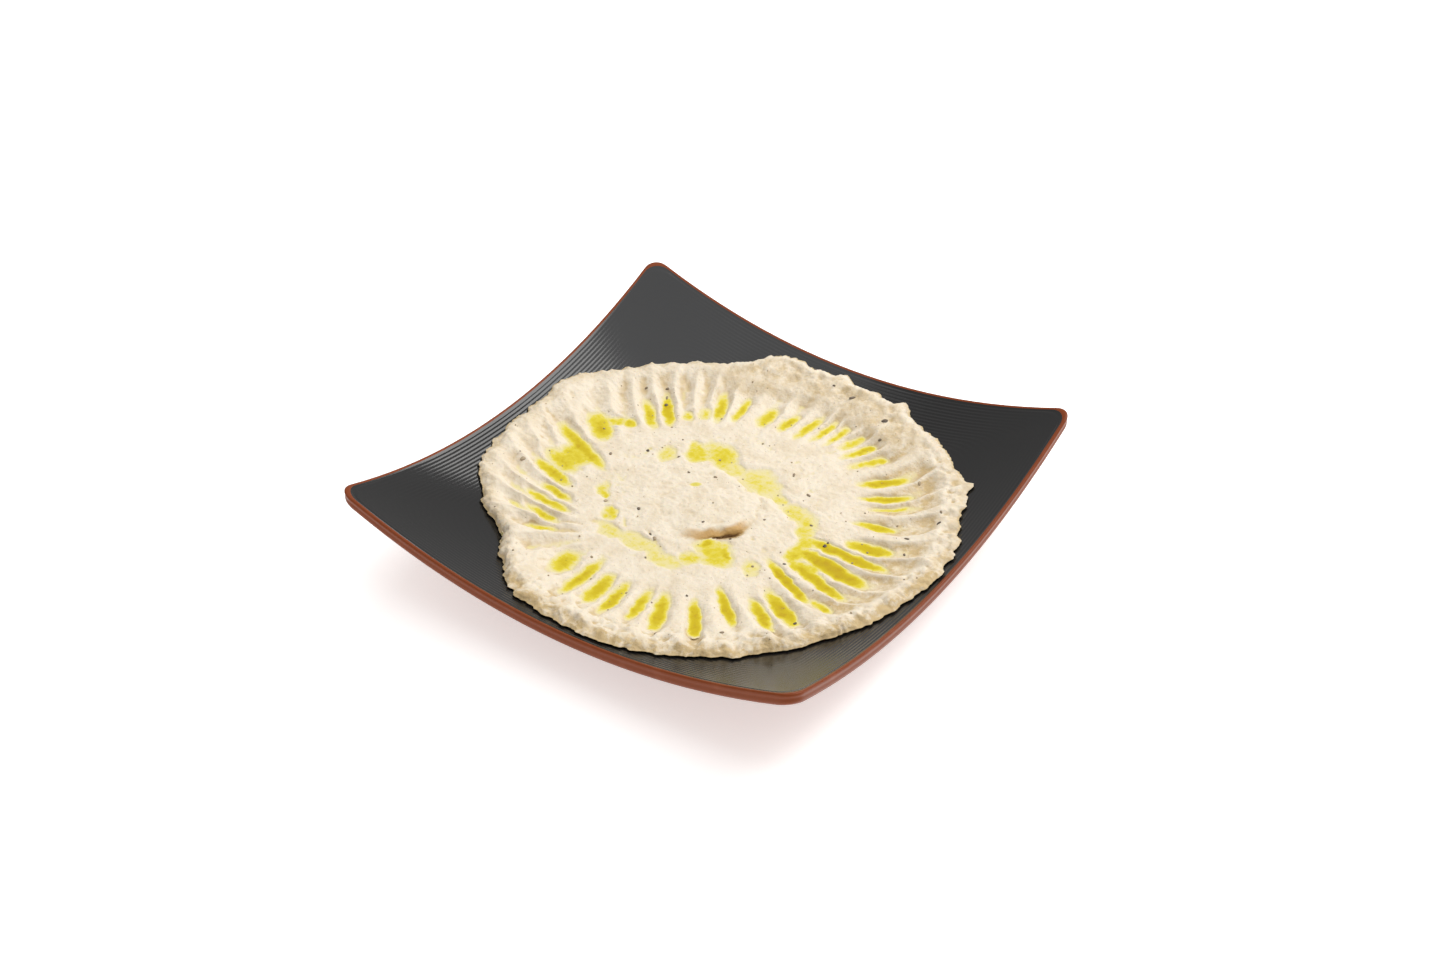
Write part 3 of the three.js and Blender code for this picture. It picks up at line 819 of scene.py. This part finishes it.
def paste():
    """Chickpea paste: pale and cream in patches, with painted tan shade in its hollows, on the
    shelf, the furrow floors on the right and the border's side, painted shade on the lip's face, a
    painted shadow in the crease under it, and painted light on its crests.
    """
    material, shader, place = new_finish("hummus_cream")
    mottle = place.grain(11, 5, 0.62).between(0.4, 0.68)
    cream = mottle.blend(PALE_CREAM, CREAM)
    hollow = attribute(place, "hollow")
    # Painted shade: hollows are tinted darker tan. Painted light: crests are tinted paler.
    cream = (hollow.between(0, 0.65) * 0.85).blend(cream, SHADE_TAN)
    cream = (hollow.between(0.05, -0.7) * 0.6).blend(cream, PALE_CREAM)
    coarse = place.grain(2.2, 4, 0.65).between(0.4, 0.62)
    blotches = place.grain(7, 4, 0.6).between(0.42, 0.62)
    # Painted shade, tan and patchy: the furrow floors on the right, the shelf and the border's
    # side.
    dry_and_shade = attribute(place, "dry_and_shade") * (0.14 + 0.34 * coarse + 0.5 * blotches)
    cream = dry_and_shade.blend(cream, SHADE_TAN)
    # Painted shade: the lip's front face is tinted tan.
    cream = (attribute(place, "lip_face_shade") * 0.92).blend(cream, LIP_SHADE_TAN)
    # Painted shadow: the crease under the lip is darkened to near black-brown.
    cream = attribute(place, "crease").between(0.2, 1).blend(cream, CREASE_SHADOW)
    seeds = place.grain(1.3, 2, 0.5).between(0.66, 0.74)
    cream = (seeds * 0.5).blend(cream, SEED_BROWN)
    wet = attribute(place, "oil_depth").larger(attribute(place, "smear"))
    feed(shader, "Base Color", oiled(cream, wet))
    fine = place.grain(1.6, 4, 0.6)
    feed(shader, "Roughness", 0.42 + fine * 0.25)
    grit = place.grain(1.5, 5, 0.65)
    bump = {"Height": grit, "Strength": 0.8, "Distance": 0.6 * MM}
    feed(shader, "Normal", place.node("ShaderNodeBump", {}, bump))
    shader.inputs["Subsurface Weight"].default_value = 0.15
    shader.inputs["Subsurface Radius"].default_value = (1.0, 0.7, 0.4)
    shader.inputs["Subsurface Scale"].default_value = 0.8 * MM
    shader.inputs["IOR"].default_value = 1.38
    return material


hummus = make_hummus()
hummus.data.materials.append(paste())
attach(hummus, "root")
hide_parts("hummus")


# Olive oil: a thin drizzle that has run level in the furrows and in the pools round the middle.
# Each film is flat on top, ends where the paste rises through it, and is deeper in colour where
# it is thicker.
OIL_UNDERLAP = -0.05
FILM = 0.25
OIL_SPECK = (0.30, 0.24, 0.02, 1)


def make_oil():
    """The films, from the hummus's faces that are under oil, laid flat and given a thickness."""
    bpy.ops.object.select_all(action="DESELECT")
    bpy.context.view_layer.objects.active = hummus
    hummus.select_set(True)
    depth = np.zeros(len(hummus.data.vertices), np.float32)
    hummus.data.attributes["oil_depth"].data.foreach_get("value", depth)
    bpy.ops.object.mode_set(mode="EDIT")
    bpy.ops.mesh.select_all(action="DESELECT")
    mesh = bmesh.from_edit_mesh(hummus.data)
    mesh.verts.ensure_lookup_table()
    top_count = (GRID_CELLS + 1) ** 2
    for face in mesh.faces:
        corners = [corner.index for corner in face.verts]
        if max(corners) < top_count and max(depth[corner] for corner in corners) > OIL_UNDERLAP:
            face.select = True
    mesh.select_flush(True)
    bmesh.update_edit_mesh(hummus.data)
    bpy.ops.mesh.duplicate()
    bpy.ops.mesh.separate(type="SELECTED")
    bpy.ops.object.mode_set(mode="OBJECT")
    oil = next(piece for piece in bpy.context.selected_objects if piece is not hummus)
    oil.name = "olive_oil"
    oil.data.name = "olive_oil"
    places = np.zeros(len(oil.data.vertices) * 3)
    oil.data.vertices.foreach_get("co", places)
    places = places.reshape(-1, 3) / MM
    places[:, 2] = LEVEL + oil_height(np.hypot(places[:, 0], places[:, 1]))
    oil.data.vertices.foreach_set("co", (places * MM).ravel())
    oil.data.update()
    bpy.context.view_layer.objects.active = oil
    film = oil.modifiers.new("film", "SOLIDIFY")
    film.thickness = FILM * MM
    film.offset = -1
    bpy.ops.object.modifier_apply(modifier="film")
    return oil


def olive_oil():
    """Golden oil, deeper in colour where it is deeper, with streaks, amber patches and specks."""
    material, shader, place = new_finish("olive_oil_film")
    streaks = place.grain(2.6, 4, 0.6).between(0.35, 0.7)
    depth = attribute(place, "oil_depth") + (streaks - 0.5) * 0.3
    specks = place.grain(0.9, 2, 0.5).between(0.66, 0.76)
    amber = place.grain(3.4, 3, 0.6).between(0.48, 0.66) * depth.between(0.45, 1.1) * 0.6
    colour = amber.blend(oiled(CREAM, depth), OIL_AMBER)
    feed(shader, "Base Color", (specks * 0.5).blend(colour, OIL_SPECK))
    shader.inputs["Roughness"].default_value = 0.22
    shader.inputs["IOR"].default_value = 1.38
    ripple = {"Height": place.grain(2.4, 4, 0.6), "Strength": 0.35, "Distance": 0.3 * MM}
    feed(shader, "Normal", place.node("ShaderNodeBump", {}, ripple))
    return material


oil = make_oil()
oil.data.materials.clear()
oil.data.materials.append(olive_oil())
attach(oil, "root")
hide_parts("hummus")


# Flecks: bits of charred skin and spice that were stirred into the paste. They lie half sunk in
# its top, from seed-sized dark ones down to specks.

# The ones that stand out: place in the plan, half-length, half-width, turn, and how dark.
SEEN_FLECKS = [
    (32.5, 85, 1.9, 1.4, 40, 1), (54.5, 0.7, 1.1, 0.8, 100, 1), (54.5, 3.2, 0.7, 0.5, 100, 0.8),
    (71.7, -48.8, 0.9, 0.6, 20, 1), (12.1, 91.3, 1.9, 0.6, -20, 0.8),
    (1, 93.5, 0.8, 0.5, 10, 0.8), (-12.5, 99, 0.7, 0.5, 0, 0.7), (82, 20.4, 1.3, 0.5, 120, 0.8),
    (85.4, 12.5, 0.9, 0.5, 150, 0.8), (88.8, 34.6, 1.2, 0.7, 110, 1), (20, -17.7, 0.6, 0.6, 0, 1),
    (26.5, -58.3, 0.6, 0.5, 0, 0.8), (47.5, -19.2, 0.8, 0.5, 40, 0.8),
    (-57.9, 46.3, 1.0, 0.8, 30, 0.9), (-63.3, 55, 1.1, 0.7, 60, 0.6),
    (-70.8, 49.2, 0.9, 0.6, 60, 0.6), (-55.8, 1.7, 0.9, 0.6, 10, 0.5),
    (-30.4, 17.1, 1.0, 0.6, 60, 0.8), (-44.2, 13.3, 0.8, 0.7, 20, 1),
    (-20, 9.6, 0.7, 0.5, 0, 0.6), (-8.3, 13, 0.9, 0.5, -30, 0.5),
    (-22.9, -22.9, 0.9, 0.7, -10, 0.8), (-8.8, -34.2, 0.9, 0.6, 0, 1),
    (-5.8, -35.4, 1.1, 0.8, -40, 0.15), (-37.9, -25.8, 1.2, 0.8, -60, 0.15),
    (-82.9, -25, 1.4, 1.0, 40, 0.12), (-1.7, -47.5, 0.6, 0.5, 0, 0.7),
    (5.4, -16.3, 0.7, 0.6, 0, 0.8), (30.8, 25.4, 1.2, 0.6, -30, 0.5),
    (42.5, 9.2, 0.8, 0.5, 0, 0.6), (66.7, 56.7, 1.1, 0.6, 60, 0.2), (25, 0.4, 0.7, 0.5, 0, 0.5),
    (32, -87.5, 0.8, 0.5, 0, 0.5), (53, -72.5, 1.0, 0.6, 40, 0.5), (86, 41, 0.8, 0.5, 90, 0.6),
    (36.7, 74.2, 0.9, 0.6, 50, 0.7), (-70, 16, 0.6, 0.4, 0, 0.4),
    (-60.5, 50.6, 1.3, 0.5, 70, 0.4), (18, 34, 1.5, 0.5, -20, 0.5),
]
SPECK_COUNT = 220
SPECK_REACH = 100
CRUMB_BROWN = (0.46, 0.36, 0.23, 1)
CHAR_BLACK = (0.05, 0.036, 0.026, 1)
CHAR_BROWN = (0.2, 0.14, 0.085, 1)


def make_flecks():
    crumb = add_piece(
        "dark_flecks", bpy.ops.mesh.primitive_ico_sphere_add, subdivisions=2, radius=1
    )
    for vertex in crumb.data.vertices:
        vertex.co *= 1 + 0.3 * noise.noise(vertex.co * 1.7)
    chance = random.Random(11)
    flecks = list(SEEN_FLECKS)
    while len(flecks) < len(SEEN_FLECKS) + SPECK_COUNT:
        reach, turn = SPECK_REACH * math.sqrt(chance.random()), chance.uniform(0, math.tau)
        long = 0.18 + 0.45 * chance.random() ** 3
        wide = long * chance.uniform(0.5, 1)
        place = (reach * math.cos(turn), reach * math.sin(turn))
        flecks.append((*place, long, wide, chance.uniform(0, 180), chance.uniform(0, 0.4)))
    pieces = []
    for x, y, long, wide, turn, dark in flecks:
        over = Vector((x, y, 60)) * MM
        hits = [surface.ray_cast(over, Vector((0, 0, -1))) for surface in (oil, hummus)]
        found, spot, normal, _ = max(hits, key=lambda hit: hit[1].z if hit[0] else 0)
        if not found:
            continue
        fleck = crumb.copy()
        fleck.data = crumb.data.copy()
        bpy.context.scene.collection.objects.link(fleck)
        tilt = normal.to_track_quat("Z", "Y").to_matrix().to_4x4()
        spin = Matrix.Rotation(math.radians(turn), 4, "Z")
        size = Matrix.Diagonal((long * MM, wide * MM, min(wide, 0.4) * MM, 1))
        lift = Matrix.Translation(spot + normal * 0.05 * MM)
        fleck.data.transform(lift @ tilt @ spin @ size)
        mark_points(fleck, "dark", [dark] * len(fleck.data.vertices))
        pieces.append(fleck)
    bpy.data.objects.remove(crumb)
    bpy.ops.object.select_all(action="DESELECT")
    for fleck in pieces:
        fleck.select_set(True)
    bpy.context.view_layer.objects.active = pieces[0]
    bpy.ops.object.join()
    pieces[0].name = "dark_flecks"
    bpy.ops.object.shade_smooth()
    return pieces[0]


def charred():
    material, shader, place = new_finish("charred_flecks")
    dark = attribute(place, "dark")
    patchy = place.grain(0.8, 3, 0.5).between(0.35, 0.65)
    shade = dark.blend(CRUMB_BROWN, CHAR_BLACK)
    feed(shader, "Base Color", (patchy * 0.35).blend(shade, CHAR_BROWN))
    shader.inputs["Roughness"].default_value = 0.5
    return material


flecks = make_flecks()
flecks.data.materials.append(charred())
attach(flecks, "root")
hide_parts("hummus")


# Table: a plain white sheet under the plate that glows a little, though it is no lamp: painted
# light that lifts the plate's shadow on it and lights the plate from below. Then the soft light of
# a studio: a large soft box overhead and a smaller, stronger one behind.
TABLE_WHITE = (0.93, 0.93, 0.93, 1)
TABLE_SHADOW_LIFT_GLOW = 0.5
ROOM_LIGHT = (1, 0.97, 0.94, 1)
ROOM_STRENGTH = 0.58

# Each box: turn and rise in degrees, distance and side in metres, radiance and colour.
SOFT_BOXES = [
    ("overhead_box", 100, 80, 1.6, 1.8, 1.1, (0.98, 0.99, 1.0)),
    ("back_box", 66, 45, 1.5, 1.0, 5.0, (1.0, 0.99, 0.97)),
]


def make_stage():
    floor = add_piece("table_top", bpy.ops.mesh.primitive_plane_add, size=8)
    material, shader, place = new_finish("white_table")
    shader.inputs["Base Color"].default_value = TABLE_WHITE
    shader.inputs["Roughness"].default_value = 0.7
    shader.inputs["Emission Color"].default_value = (1, 1, 1, 1)
    # Painted light: the table glows, which lifts the plate's shadow on it.
    shader.inputs["Emission Strength"].default_value = TABLE_SHADOW_LIFT_GLOW
    floor.data.materials.append(material)
    world = bpy.data.worlds.new("studio")
    world.use_nodes = True
    background = world.node_tree.nodes["Background"]
    background.inputs["Color"].default_value = ROOM_LIGHT
    background.inputs["Strength"].default_value = ROOM_STRENGTH
    bpy.context.scene.world = world
    aim = Vector((0, 0, 0.02))
    for name, turn, rise, away, size, radiance, colour in SOFT_BOXES:
        light = bpy.data.lights.new(name, "AREA")
        light.shape = "SQUARE"
        light.size = size
        light.energy = radiance * math.pi * size * size
        light.color = colour
        lamp = bpy.data.objects.new(name, light)
        rise, turn = math.radians(rise), math.radians(turn)
        level = math.cos(rise) * away
        turned = (math.cos(turn) * level, math.sin(turn) * level)
        lamp.location = aim + Vector((*turned, math.sin(rise) * away))
        lamp.rotation_euler = (lamp.location - aim).to_track_quat("Z", "Y").to_euler()
        bpy.context.scene.collection.objects.link(lamp)


CAMERA_PLACE = Vector((0.4191, -0.6142, 0.5900))
CAMERA_AZIMUTH = 34.133
CAMERA_ELEVATION = 36.870
CAMERA_ROLL = 0.241
LENS_LENGTH = 55.40
SENSOR_WIDTH = 36


def make_camera():
    lens = bpy.data.cameras.new("camera")
    lens.lens = LENS_LENGTH
    lens.sensor_width = SENSOR_WIDTH
    lens.clip_end = 20
    camera = bpy.data.objects.new("camera", lens)
    turn = Matrix.Rotation(math.radians(CAMERA_AZIMUTH), 4, "Z")
    tilt = Matrix.Rotation(math.radians(90 - CAMERA_ELEVATION), 4, "X")
    roll = Matrix.Rotation(math.radians(CAMERA_ROLL), 4, "Z")
    camera.matrix_world = Matrix.Translation(CAMERA_PLACE) @ turn @ tilt @ roll
    bpy.context.scene.collection.objects.link(camera)
    bpy.context.scene.camera = camera


make_stage()
make_camera()
bpy.context.scene.view_settings.view_transform = "Standard"
